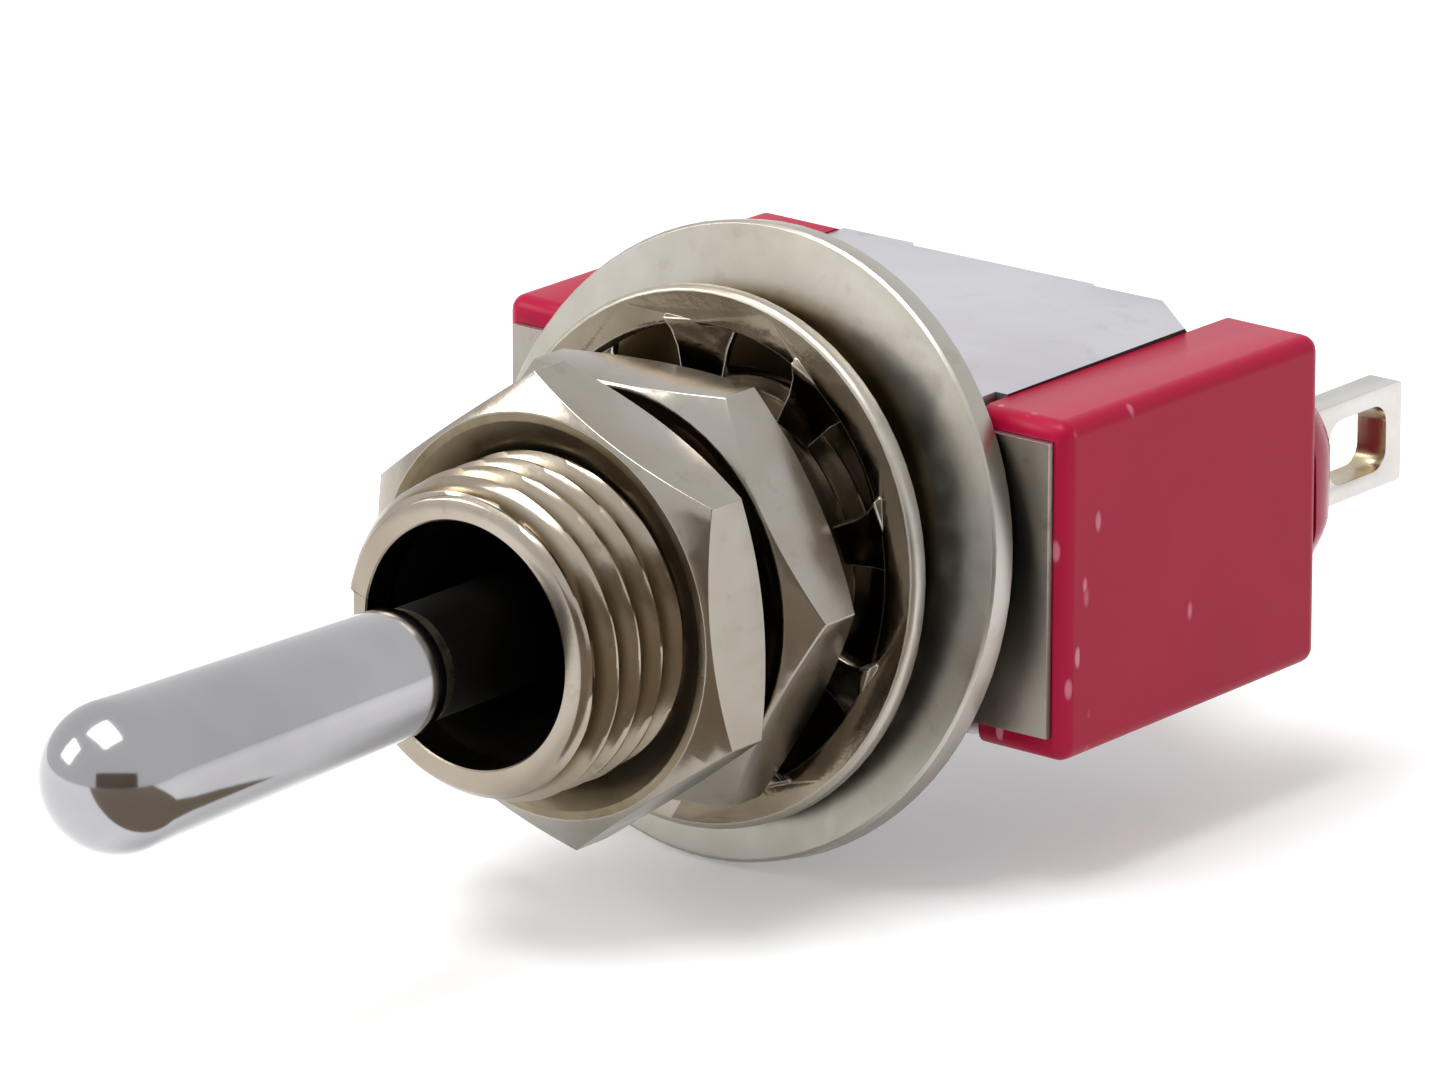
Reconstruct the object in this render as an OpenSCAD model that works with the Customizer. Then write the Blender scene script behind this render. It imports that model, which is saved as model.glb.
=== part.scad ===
// Miniature panel toggle switch, millimetres.
// The origin is on the bushing's axis, at the front face of the bracket.
// +X runs along the body, +Y runs from the lever to the terminals, +Z is up.

/* [Bushing] */
// Diameter over the thread crests, 1/4-40
bushing_d = 6.25; // [6.15:0.05:6.35]
// Length of the bushing ahead of the bracket
bushing_len = 9.19; // [8.8:0.1:9.8]
// Radius of the bushing's front face, inside its chamfer
bushing_tip_r = 2.776; // [2.7:0.02:2.9]
// Length of the chamfer at the bushing's front
bushing_chamfer = 0.55; // [0.3:0.05:0.8]
// Radius of the bore at the bushing's mouth
mouth_r = 2.35; // [2.3:0.02:2.44]
// Width of the keyway
keyway_w = 1.1; // [1:0.05:1.3]
// Depth of the keyway below the thread crests
keyway_depth = 0.5; // [0.4:0.02:0.56]
// Pitch of the thread's rings
thread_pitch = 0.635; // [0.6:0.005:0.65]
// Depth of the thread
thread_depth = 0.33; // [0.25:0.01:0.36]

/* [Lever] */
// Distance from the bracket to the lever's tip
lever_reach = 20.16; // [17:0.5:22]
// Radius of the round tip
lever_tip_r = 1.41; // [1.3:0.05:1.6]
// Radius at the inner end of the bright taper
lever_root_r = 1.19; // [1.15:0.02:1.3]
// Distance from the bracket to the inner end of the taper
lever_root_reach = 11.1; // [10.8:0.1:11.5]
// Radius of the dark neck in the bushing's mouth
neck_r = 1.08; // [0.95:0.02:1.1]
// Depth of the pivot ahead of the bracket
pivot_reach = 3.9; // [3.8:0.05:4.1]
// Radius of the lever's ball
ball_r = 2.1; // [2.06:0.01:2.12]
// Tilt of the lever each way
throw_angle = 12; // [10:0.5:12]
// Radial clearance of running fits
running_fit = 0.05; // [0.03:0.01:0.06]

/* [Nuts and washers] */
// Width of each nut across its flats
nut_af = 7.9; // [7.8:0.05:8.2]
// Thickness of each nut
nut_t = 1.66; // [1.4:0.02:1.7]
// Distance from the bracket to the front nut's rear face
front_nut_at = 5.3; // [5:0.1:5.5]
// Distance from the bracket to the rear nut's rear face
rear_nut_at = 3.03; // [2.9:0.02:3.2]
// Turn of the front nut
front_nut_turn = 36; // [0:1:59]
// Turn of the rear nut
rear_nut_turn = 1; // [0:1:59]
// Outer radius of the locating washer
locating_washer_r = 6.03; // [5.8:0.01:6.1]
// Thickness of the locating washer
locating_washer_t = 0.62; // [0.5:0.02:0.66]
// Lean of the loose locating washer
locating_washer_lean = 11.1; // [9:0.1:11.5]
// Outer radius of the lock washer
lock_washer_r = 5.12; // [5:0.02:5.2]
// Thickness of the lock washer
lock_washer_t = 0.42; // [0.36:0.02:0.46]
// Lean of the loose lock washer
lock_washer_lean = 7.2; // [5:0.1:9]
// Teeth inside the lock washer
lock_teeth = 9; // [6:1:10]
// Twist of each tooth
tooth_twist = 20; // [10:1:24]

/* [Body] */
// Half length of the red housing
housing_x = 6.73; // [6.6:0.01:7]
// Depth of the housing behind the bracket's front face
housing_y = 8.17; // [8.1:0.01:8.6]
// Half height of the housing at its front
housing_front_z = 3.22; // [3.2:0.01:3.26]
// Half height of the housing at its back
housing_back_z = 3.15; // [3.12:0.01:3.2]
// Radius of the housing's edges
housing_edge_r = 0.2; // [0.15:0.05:0.25]
// Thickness of the bracket's sheet
sheet_t = 0.45; // [0.4:0.01:0.48]
// Half width of the bracket's side plates
bracket_x = 4.685; // [4.6:0.01:4.72]
// Half height over the side plates
bracket_z = 3.28; // [3.26:0.01:3.3]
// Reach of each ear from the axis
ear_x = 6.38; // [6.3:0.01:6.42]
// Half height of the ears
ear_z = 2.86; // [2.7:0.01:2.88]
// Outer radius of the folds
fold_r = 0.55; // [0.5:0.01:0.6]
// Bend of each crimped corner
crimp_bend = 55; // [50:1:58]

/* [Terminals] */
// Pitch of the terminals
terminal_pitch = 5.08; // [5.04:0.01:5.1]
// Thickness of each terminal
terminal_t = 0.69; // [0.66:0.01:0.7]
// Width of each terminal
terminal_w = 2; // [1.8:0.02:2.1]
// Distance from the bracket's front to the ends of the terminals
terminal_reach = 12.66; // [12.2:0.02:13]
// Length of each eye
eye_len = 1.88; // [1.5:0.02:1.9]
// Width of each eye
eye_w = 1.3; // [1:0.02:1.34]
// Metal beyond each eye
eye_edge = 0.5; // [0.4:0.01:0.55]
// Radius of the resin round each terminal
seal_r = 1.58; // [1.5:0.01:1.6]
// Stretch of the resin along each terminal's width
seal_spread = 0.5; // [0.3:0.05:0.6]

/* [Mechanism] */
// Radius of the pivot pin
pin_r = 0.35; // [0.3:0.01:0.36]
// Radius of the plunger
plunger_r = 0.6; // [0.56:0.01:0.62]
// Dish of the rocking strip, each side
rocker_dish = 12; // [11:0.5:12.5]
// Strip angle for each degree of lever
rocker_ratio = 0.8; // [0.7:0.01:0.82]
// Thickness of the strip
rocker_t = 0.4; // [0.3:0.02:0.42]
// Width of the strip
rocker_w = 3; // [2.6:0.1:3.1]
// Position of the strip's valley
rocker_at = 2.95; // [2.9:0.01:3]

/* [Hidden] */
$fn = 96;

bushing_r = bushing_d / 2;
socket_r = ball_r + running_fit;
socket_depth = 1.25;
throat_r = 1.8;
throat_len = 2.5;
spigot_r = 2.6;
head_r = 2.68;
head_t = 0.3;
pin_half = 2.33;
pin_groove_z = 2.38;
pin_fit = 0.6 * running_fit;

// Where a nut is screwed on, nut and bushing meet at the thread's pitch cylinder
pitch_r = bushing_r - 0.165;
thread_crest = 0.16;
thread_flank = 0.19;
nut_bore_r = pitch_r + 0.01;
nut_sink_r = bushing_r + 0.57;
nut_sink = 0.35;
nut_face_r = nut_af / 2 - 0.08;

washer_bore_r = bushing_r + 0.18;
washer_gap = 0.06;
fold_c = bracket_z - fold_r;
locating_y = (fold_r * (cos(locating_washer_lean) - 1) - fold_c * sin(locating_washer_lean)
    - locating_washer_t / 2 - washer_gap) / cos(locating_washer_lean);
key_in = bushing_r - keyway_depth + 0.1;
key_half = keyway_w / 2 - 0.12;

tooth_t = 0.3;
tooth_half = 0.5;
tooth_proud = tooth_half * sin(tooth_twist) + tooth_t / 2 * cos(tooth_twist);
lock_y = -rear_nut_at + 0.03 + tooth_proud / cos(lock_washer_lean)
    + nut_face_r * tan(lock_washer_lean);

fit = 0.01;
plate_z = bracket_z - sheet_t;
core_z = plate_z - 0.02;
housing_front_y = 0.15;
housing_front_x = housing_x - 0.05;
back_a = 7.85;
back_b = 7.95;
back_c = 8.1;
crimp_a = [3.2, back_a];
crimp_b = [bracket_x, 6.55];
crimp_len = norm(crimp_b - crimp_a);
crimp_turn = atan2(crimp_b[1] - crimp_a[1], crimp_b[0] - crimp_a[0]);

cavity_x = 5.5;
cavity_z = 2.1;
floor_y = 4.65;
blade_half = terminal_t / 2;
lug_y0 = 4.2;
lug_corner_r = 0.12;
eye_corner_r = 0.4;
seal_y = housing_y - 0.1;

tail_r = 0.95;
tail_y = 0.9;
bore_y = -3.1;
bore_r = plunger_r + running_fit;
fulcrum_y = rocker_at + rocker_t / cos(rocker_dish);
plunger_c = rocker_at - plunger_r / cos(rocker_dish) - 0.07;
plunger_back = -0.6;
arm_len = 4.3;
button_at = 3.7;
button_r = 0.8;
button_h = 0.45;
rivet_r = 0.4;
closed_dish = rocker_dish - rocker_ratio * throw_angle;
tip_y = fulcrum_y - button_at * sin(closed_dish) + button_h + button_r * sin(closed_dish) + 0.03;
tip_x = button_at * cos(closed_dish) + button_h * sin(closed_dish);
cradle_y = fulcrum_y + 0.02;

spring_turns = 5;
spring_r = 0.44;
wire_r = 0.08;
spring_y0 = bore_y + wire_r + 0.02;
spring_y1 = plunger_back - wire_r - 0.02;
spring_steps = 14;
spring_sides = 8;

// A ring or a turned solid about the Y axis, from [radius, y] points
module turned(points) rotate([-90, 0, 0]) rotate_extrude() polygon(points);

// A straight round bar along Y, from y0 to y1
module bar(r, y0, y1) translate([0, y0, 0]) rotate([-90, 0, 0]) cylinder(r = r, h = y1 - y0);

// A block given by its opposite corners
module block(a, b) translate(a) cube(b - a);

// A rectangle with round corners
function round_rect(w, h, r, n = 6) = [for (q = [0 : 3], i = [0 : n])
    let (t = 90 * q + 90 * i / n, sx = (q == 0 || q == 3) ? 1 : -1, sy = q < 2 ? 1 : -1)
    [sx * (w / 2 - r) + r * cos(t), sy * (h / 2 - r) + r * sin(t)]];

// Points on an arc
function arc(c, r, a0, a1, n = 8) = [for (i = [0 : n])
    let (t = a0 + (a1 - a0) * i / n) [c[0] + r * cos(t), c[1] + r * sin(t)]];

// The crests and grooves of a thread between y0 and y1, as profile points
function ridges(y0, y1) = let (n = max(0, floor((y1 - y0 - thread_crest) / thread_pitch)))
    [for (k = [n : -1 : 1]) let (a = y1 - k * thread_pitch, b = a + thread_pitch - thread_crest)
        each [[bushing_r, a], [bushing_r - thread_depth, a + thread_flank],
            [bushing_r - thread_depth, b - thread_flank], [bushing_r, b]]];

module toggle_lever() {
    tip_c = -lever_reach + lever_tip_r;
    difference() {
        union() {
            color([0.78, 0.79, 0.82]) turned([
                [0, tip_c], [lever_tip_r - 0.005, tip_c],
                [lever_root_r, -lever_root_reach],
                [neck_r, -lever_root_reach + 0.32],
                [neck_r, -pivot_reach], [0, -pivot_reach]]);
            color([0.78, 0.79, 0.82]) translate([0, tip_c, 0]) sphere(r = lever_tip_r);
            color([0.1, 0.1, 0.1]) translate([0, -pivot_reach, 0]) sphere(r = ball_r);
            color([0.1, 0.1, 0.1]) bar(tail_r, -pivot_reach, tail_y);
        }
        bar(bore_r, bore_y, tail_y + 1);
        translate([0, -pivot_reach, -ball_r - 1]) cylinder(r = pin_r, h = 2 * ball_r + 2);
    }
}

module pivot_pin() {
    color([0.7, 0.7, 0.72])
        translate([0, -pivot_reach, -pin_half]) cylinder(r = pin_r, h = 2 * pin_half);
}

module bushing() {
    back = sheet_t + head_t;
    groove = pin_r + pin_fit;
    color([0.69, 0.66, 0.62]) difference() {
        turned(concat(
            [[mouth_r, -bushing_len], [bushing_tip_r, -bushing_len],
                [bushing_r, -bushing_len + bushing_chamfer]],
            ridges(-bushing_len + bushing_chamfer, -front_nut_at - nut_t),
            [[bushing_r, -front_nut_at - nut_t], [pitch_r, -front_nut_at - nut_t + 0.15],
                [pitch_r, -front_nut_at - 0.15], [bushing_r, -front_nut_at],
                [bushing_r, -rear_nut_at - nut_t], [pitch_r, -rear_nut_at - nut_t + 0.15],
                [pitch_r, -rear_nut_at - 0.15], [bushing_r, -rear_nut_at]],
            ridges(-rear_nut_at, 0),
            [[bushing_r, 0], [spigot_r, 0], [spigot_r, sheet_t], [head_r, sheet_t], [head_r, back],
                [socket_r, back], [socket_r, -pivot_reach - socket_depth],
                [throat_r, -pivot_reach - socket_depth],
                [throat_r, -pivot_reach - throat_len], [mouth_r, -bushing_len + 0.8]]));
        block([-bushing_r - 1, -bushing_len - 1, -keyway_w / 2],
            [-bushing_r + keyway_depth, 0, keyway_w / 2]);
        for (s = [-1, 1]) {
            z0 = s > 0 ? socket_r - 0.4 : -pin_groove_z;
            block([-groove - 0.02, -pivot_reach + 0.12, z0],
                [groove + 0.02, back + 1, z0 + pin_groove_z - socket_r + 0.4]);
            translate([0, -pivot_reach, z0]) cylinder(r = groove, h = pin_groove_z - socket_r + 0.4);
        }
    }
}

// A thin hex nut, its rear face at the given distance ahead of the bracket
module hex_nut(at, turn) {
    corner = nut_af / 2 / cos(30) + 0.4;
    drop = (corner - nut_face_r) * tan(30);
    translate([0, -at, 0]) rotate([90, 0, 0]) intersection() {
        rotate([0, 0, turn]) translate([0, 0, -1])
            cylinder(r = nut_af / 2 / cos(30), h = nut_t + 2, $fn = 6);
        rotate_extrude() polygon([
            [nut_bore_r, nut_sink], [nut_sink_r, 0], [nut_face_r, 0], [corner, drop],
            [corner, nut_t - drop], [nut_face_r, nut_t], [nut_sink_r, nut_t],
            [nut_bore_r, nut_t - nut_sink]]);
    }
}

module front_nut() {
    color([0.69, 0.66, 0.62]) hex_nut(front_nut_at, front_nut_turn);
}

module rear_nut() {
    color([0.66, 0.63, 0.58]) hex_nut(rear_nut_at, rear_nut_turn);
}

// Places a loose washer: its centre plane at y, its top leaning back
module leaning(y, lean) translate([0, y, 0]) rotate([-lean, 0, 0]) rotate([90, 0, 0]) children();

module lock_washer() {
    h = lock_washer_t / 2;
    step = 360 / lock_teeth;
    color([0.72, 0.7, 0.66]) leaning(lock_y, lock_washer_lean) union() {
        rotate_extrude() polygon([
            [4.4, -h], [lock_washer_r - 0.08, -h], [lock_washer_r, -h + 0.08],
            [lock_washer_r, h - 0.08], [lock_washer_r - 0.08, h], [4.4, h]]);
        for (i = [0 : lock_teeth - 1]) rotate([0, 0, 15 + step * i]) rotate([tooth_twist, 0, 0])
            translate([0, 0, -tooth_t / 2]) linear_extrude(height = tooth_t) polygon([
                [washer_bore_r, -0.38], [3.95, -tooth_half], [4.25, -tooth_half - 0.12],
                [4.5, -tooth_half - 0.32], [4.5, tooth_half + 0.32], [4.25, tooth_half + 0.12],
                [3.95, tooth_half], [washer_bore_r, 0.38]]);
    }
}

module locating_washer() {
    h = locating_washer_t / 2;
    color([0.7, 0.68, 0.65]) leaning(locating_y, locating_washer_lean) union() {
        rotate_extrude() polygon([
            [washer_bore_r, -h], [locating_washer_r - 0.06, -h], [locating_washer_r, -h + 0.06],
            [locating_washer_r, h - 0.06], [locating_washer_r - 0.06, h], [washer_bore_r, h]]);
        block([-washer_bore_r - 0.2, -key_half, -h], [-key_in, key_half, h]);
    }
}

// One side plate in plan, with the stepped back edge and one corner cut for the crimp
module side_plate() {
    translate([0, 0, plate_z]) linear_extrude(height = sheet_t) polygon([
        [-bracket_x, fold_r], [bracket_x, fold_r], crimp_b, crimp_a,
        [1.5, back_a], [1.5, back_b], [-2.97, back_b], [-2.97, back_c], [-bracket_x, back_c]]);
}

// The frame of the crimp's fold line, turned down by the bend
module crimp_frame() translate([crimp_a[0], crimp_a[1], bracket_z])
    rotate([0, 0, crimp_turn]) rotate([-crimp_bend, 0, 0]) children();

module crimp_flap() {
    crimp_frame() translate([0, 0, -sheet_t]) linear_extrude(height = sheet_t) polygon([
        [0.05, 0], [crimp_len - 0.06, 0], [crimp_len - 0.36, 0.45], [crimp_len - 0.6, 0.8],
        [crimp_len - 0.9, 0.97], [crimp_len - 1.15, 0.84], [crimp_len - 1.6, 0.38]]);
}

module bracket() {
    inner = fold_r - sheet_t;
    c = fold_c;
    section = concat(
        arc([fold_r, c], fold_r, 180, 90), [[fold_r + 0.2, bracket_z], [fold_r + 0.2, plate_z]],
        arc([fold_r, c], inner, 90, 180, 4), arc([fold_r, -c], inner, 180, 270, 4),
        [[fold_r + 0.2, -plate_z], [fold_r + 0.2, -bracket_z]], arc([fold_r, -c], fold_r, 270, 180));
    color([0.78, 0.77, 0.8]) difference() {
        union() {
            translate([-bracket_x, 0, 0]) rotate([90, 0, 90])
                linear_extrude(height = 2 * bracket_x) polygon(section);
            for (t = [0, 180]) rotate([0, t, 0]) {
                side_plate();
                crimp_flap();
            }
            block([-ear_x, 0, -ear_z], [ear_x, sheet_t, ear_z]);
        }
        bar(spigot_r, -1, sheet_t + 1);
        for (sx = [-1, 1], sz = [-1, 1]) translate([sx * (bracket_x - 0.13), 0.35, sz * (ear_z + 0.4)])
            cube([0.3, 1.3, 0.8], center = true);
    }
}

module housing() {
    e = housing_edge_r;
    color([0.68, 0.15, 0.24]) difference() {
        hull() for (sx = [-1, 1], sz = [-1, 1]) {
            translate([sx * (housing_front_x - e), housing_front_y + e, sz * (housing_front_z - e)])
                sphere(r = e, $fn = 20);
            translate([sx * (housing_x - e), housing_y - e, sz * (housing_back_z - e)]) sphere(r = e, $fn = 20);
        }
        for (t = [0, 180]) rotate([0, t, 0]) block([-bracket_x - fit, -1, core_z],
            [bracket_x + fit, housing_y + 1, housing_front_z + 1]);
        block([-ear_x - fit, -1, -ear_z - fit], [ear_x + fit, sheet_t + fit, ear_z + fit]);
        block([-cavity_x, -1, -cavity_z], [cavity_x, lug_y0, cavity_z]);
        bar(head_r + 0.22, 0, sheet_t + head_t + 0.12);
        for (s = [-1, 1]) {
            block([s * 4.2 - 1.3, lug_y0 - 1, -cavity_z], [s * 4.2 + 1.3, floor_y, cavity_z]);
            block([s * terminal_pitch - blade_half - fit, 4, -terminal_w / 2 - fit],
                [s * terminal_pitch + blade_half + fit, 9, terminal_w / 2 + fit]);
        }
        block([-blade_half - fit, 4, -terminal_w / 2 - fit], [blade_half + fit, 9, terminal_w / 2 + fit]);
        for (t = [0, 180]) rotate([0, t, 0]) intersection() {
            crimp_frame() block([-1.5, -0.6, -sheet_t - 0.03], [crimp_len + 1, 3, 3]);
            block([0, 5, 1], [bracket_x + fit, 10, 5]);
        }
    }
}

// Resin drawn up round one terminal
module seal(x) {
    color([0.66, 0.13, 0.22]) translate([x, 0, 0]) difference() {
        intersection() {
            hull() for (s = [-1, 1]) translate([0, seal_y, s * seal_spread]) sphere(r = seal_r, $fn = 32);
            block([-2 * seal_r, housing_y, -2 * seal_r], [2 * seal_r, housing_y + 2 * seal_r, 2 * seal_r]);
        }
        block([-blade_half, housing_y - 1, -terminal_w / 2],
            [blade_half, housing_y + 2 * seal_r, terminal_w / 2]);
    }
}

module left_terminal_seal() seal(-terminal_pitch);

module centre_terminal_seal() seal(0);

module right_terminal_seal() seal(terminal_pitch);

// A flat solder lug along Y, with its eye, from y0 to its end
module blade(x, y0) {
    len = terminal_reach - y0;
    translate([x, 0, 0]) rotate([0, -90, 0]) translate([0, 0, -blade_half])
        linear_extrude(height = terminal_t) difference() {
            union() {
                translate([-terminal_w / 2, y0]) square([terminal_w, len - 0.6]);
                translate([0, terminal_reach - 1]) polygon(round_rect(terminal_w, 2, lug_corner_r, 3));
            }
            translate([0, terminal_reach - eye_edge - eye_len / 2])
                polygon(round_rect(eye_w, eye_len, eye_corner_r));
        }
}

// An end terminal: the lug and the inner foot that carries a fixed contact
module end_terminal(s) {
    color([0.84, 0.82, 0.78]) difference() {
        union() {
            blade(s * terminal_pitch, lug_y0);
            block([s > 0 ? 2.92 : -terminal_pitch - blade_half, lug_y0, -1.3],
                [s > 0 ? terminal_pitch + blade_half : -2.92, floor_y, 1.3]);
        }
        translate([s * tip_x, 0, 0]) bar(rivet_r, lug_y0 - 1, floor_y + 1);
    }
}

module left_terminal() end_terminal(-1);

module right_terminal() end_terminal(1);

module centre_terminal() {
    color([0.84, 0.82, 0.78]) union() {
        blade(0, cradle_y);
        block([-0.9, cradle_y, -1.95], [0.9, lug_y0, 1.95]);
        for (s = [-1, 1]) block([-0.45, rocker_at - 0.9, s > 0 ? 1.62 : -1.95],
            [0.45, cradle_y + 0.1, s > 0 ? 1.95 : -1.62]);
    }
}

// A fixed contact rivet, its shank set in the end terminal's foot
module contact_tip(s) {
    color([0.85, 0.84, 0.82]) translate([s * tip_x, 0, 0]) union() {
        bar(button_r, tip_y, lug_y0);
        bar(rivet_r, tip_y + 0.1, floor_y);
    }
}

module left_contact_tip() contact_tip(-1);

module right_contact_tip() contact_tip(1);

module rocker_contact() {
    b = rocker_dish;
    top = [arm_len * cos(b), rocker_at - arm_len * sin(b)];
    low = [top[0] + rocker_t * sin(b), top[1] + rocker_t * cos(b)];
    color([0.8, 0.66, 0.4]) difference() {
        translate([0, 0, -rocker_w / 2]) linear_extrude(height = rocker_w) polygon([
            [-top[0], top[1]], [0, rocker_at], top, low, [0, fulcrum_y], [-low[0], low[1]]]);
        for (s = [-1, 1]) on_arm(s) bar(rivet_r, -1.5, 1);
    }
}

// The frame on the strip's underside, where one of its rivets sits
module on_arm(s) translate([0, fulcrum_y, 0]) rotate([0, 0, -s * rocker_dish])
    translate([s * button_at, 0, 0]) children();

module rocker_button(s) {
    color([0.85, 0.84, 0.82]) on_arm(s) union() {
        bar(button_r, 0, button_h);
        bar(rivet_r, -rocker_t - 0.05, 0.1);
        bar(0.55, -rocker_t - 0.12, -rocker_t);
    }
}

module rocker_button_left() rocker_button(-1);

module rocker_button_right() rocker_button(1);

module plunger() {
    color([0.92, 0.92, 0.9]) union() {
        bar(plunger_r - 0.003, plunger_back, plunger_c);
        translate([0, plunger_c, 0]) sphere(r = plunger_r);
    }
}

module plunger_spring() {
    rings = spring_turns * spring_steps;
    lead = (spring_y1 - spring_y0) / rings;
    pts = [for (i = [0 : rings], j = [0 : spring_sides - 1])
        let (a = 360 * i / spring_steps, t = 360 * j / spring_sides, r = spring_r + wire_r * cos(t))
        [r * cos(a), spring_y0 + lead * i + wire_r * sin(t), r * sin(a)]];
    sides = [for (i = [0 : rings - 1], j = [0 : spring_sides - 1])
        let (k = (j + 1) % spring_sides, a = i * spring_sides, b = a + spring_sides)
        [a + j, b + j, b + k, a + k]];
    first = [for (j = [0 : spring_sides - 1]) j];
    last = [for (j = [spring_sides - 1 : -1 : 0]) rings * spring_sides + j];
    color([0.7, 0.7, 0.72]) polyhedron(pts, concat([first], sides, [last]), convexity = 6);
}

toggle_lever();
pivot_pin();
bushing();
front_nut();
rear_nut();
lock_washer();
locating_washer();
bracket();
housing();
left_terminal_seal();
centre_terminal_seal();
right_terminal_seal();
left_terminal();
centre_terminal();
right_terminal();
left_contact_tip();
right_contact_tip();
rocker_contact();
rocker_button_left();
rocker_button_right();
plunger();
plunger_spring();
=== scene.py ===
import bpy
import bmesh
import math
from mathutils import Matrix, Vector


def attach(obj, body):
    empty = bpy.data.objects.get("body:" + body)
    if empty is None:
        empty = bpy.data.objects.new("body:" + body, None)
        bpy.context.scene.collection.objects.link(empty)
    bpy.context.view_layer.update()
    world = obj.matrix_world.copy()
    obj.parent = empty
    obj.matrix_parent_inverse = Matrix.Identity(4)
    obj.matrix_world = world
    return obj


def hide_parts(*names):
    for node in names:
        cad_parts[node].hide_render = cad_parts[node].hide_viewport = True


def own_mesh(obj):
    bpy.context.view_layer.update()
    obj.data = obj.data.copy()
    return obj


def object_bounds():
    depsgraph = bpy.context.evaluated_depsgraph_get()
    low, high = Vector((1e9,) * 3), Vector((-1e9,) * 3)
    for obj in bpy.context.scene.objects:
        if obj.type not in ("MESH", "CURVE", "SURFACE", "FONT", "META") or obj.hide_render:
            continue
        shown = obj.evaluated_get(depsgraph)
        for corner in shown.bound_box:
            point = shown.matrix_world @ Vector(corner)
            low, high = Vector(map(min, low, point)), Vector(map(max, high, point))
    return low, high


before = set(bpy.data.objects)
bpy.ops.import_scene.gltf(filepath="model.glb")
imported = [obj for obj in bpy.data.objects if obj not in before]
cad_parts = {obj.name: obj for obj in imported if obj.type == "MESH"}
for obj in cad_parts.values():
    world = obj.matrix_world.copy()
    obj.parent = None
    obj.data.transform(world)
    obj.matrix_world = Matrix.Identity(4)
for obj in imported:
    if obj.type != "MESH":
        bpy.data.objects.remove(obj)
cadLow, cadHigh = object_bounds()
mm = 0.001
print("frame loaded:", len(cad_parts), "nodes")


# camera

cameraSet = {"azimuth": 38.44, "elevation": 17.26, "distance": 0.2224, "lens": 295.7, "sensor": 36,
             "right": 0.001047, "up": 0.000203, "clip": (0.01, 10)}


def addCamera(s):
    a, e = math.radians(s["azimuth"]), math.radians(s["elevation"])
    back = Vector((math.sin(a) * math.cos(e), -math.cos(a) * math.cos(e), math.sin(e)))
    right = Vector((math.cos(a), math.sin(a), 0))
    up = back.cross(right)
    data = bpy.data.cameras.new("camera")
    data.sensor_width = s["sensor"]
    data.lens = s["lens"]
    data.clip_start, data.clip_end = s["clip"]
    cam = bpy.data.objects.new("camera", data)
    bpy.context.collection.objects.link(cam)
    place = Matrix((right, up, back)).transposed().to_4x4()
    place.translation = back * s["distance"] - right * s["right"] - up * s["up"]
    cam.matrix_world = place
    bpy.context.scene.camera = cam


addCamera(cameraSet)


# materials

def newMaterial(name):
    mat = bpy.data.materials.new(name)
    mat.use_nodes = True
    tree = mat.node_tree
    tree.nodes.clear()
    out = tree.nodes.new("ShaderNodeOutputMaterial")
    bsdf = tree.nodes.new("ShaderNodeBsdfPrincipled")
    tree.links.new(bsdf.outputs[0], out.inputs[0])
    return mat, tree, bsdf


def node(tree, kind, values=None, **props):
    n = tree.nodes.new(kind)
    for key, value in props.items():
        setattr(n, key, value)
    for key, value in (values or {}).items():
        if isinstance(value, bpy.types.NodeSocket):
            tree.links.new(value, n.inputs[key])
        else:
            n.inputs[key].default_value = value
    return n


def objectCoords(tree, scale=(1, 1, 1), turn=(0, 0, 0)):
    coords = node(tree, "ShaderNodeTexCoord").outputs["Object"]
    values = {"Vector": coords, "Scale": scale, "Rotation": turn}
    return node(tree, "ShaderNodeMapping", values).outputs[0]


def noise(tree, vector, scale, detail=4.0, rough=0.55):
    values = {"Vector": vector, "Scale": scale, "Detail": detail, "Roughness": rough}
    return node(tree, "ShaderNodeTexNoise", values).outputs["Fac"]


def ramp(tree, fac, stops):
    r = node(tree, "ShaderNodeValToRGB", {"Fac": fac})
    els = r.color_ramp.elements
    while len(els) < len(stops):
        els.new(0.5)
    for el, (pos, colour) in zip(els, stops):
        el.position = pos
        el.color = (*colour, 1) if len(colour) == 3 else colour
    return r.outputs["Color"]


def grey(v):
    return (v, v, v)


def mixColour(tree, fac, a, b):
    return node(tree, "ShaderNodeMix", {0: fac, 6: a, 7: b}, data_type="RGBA").outputs[2]


def ranged(tree, value, fromRange, toRange, **props):
    values = {"Value": value, "From Min": fromRange[0], "From Max": fromRange[1],
              "To Min": toRange[0], "To Max": toRange[1]}
    return node(tree, "ShaderNodeMapRange", values, **props).outputs[0]


def mathNode(tree, operation, a, b):
    return node(tree, "ShaderNodeMath", {0: a, 1: b}, operation=operation).outputs[0]


def bump(tree, height, strength):
    values = {"Height": height, "Strength": strength, "Distance": bumpDepth}
    return node(tree, "ShaderNodeBump", values).outputs[0]


bumpDepth = 0.02 * mm
metalSet = {"cloudStops": (0.3, 0.7), "stainFiner": 5, "stainStops": (0.58, 0.75),
            "grainStops": (0.25, 0.75), "pitScale": 9000, "shadeSamples": 12, "shadeEdgeShare": 0.8,
            "shadeCoreShare": 0.6, "shadeRingLap": 0.1 * mm}


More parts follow.
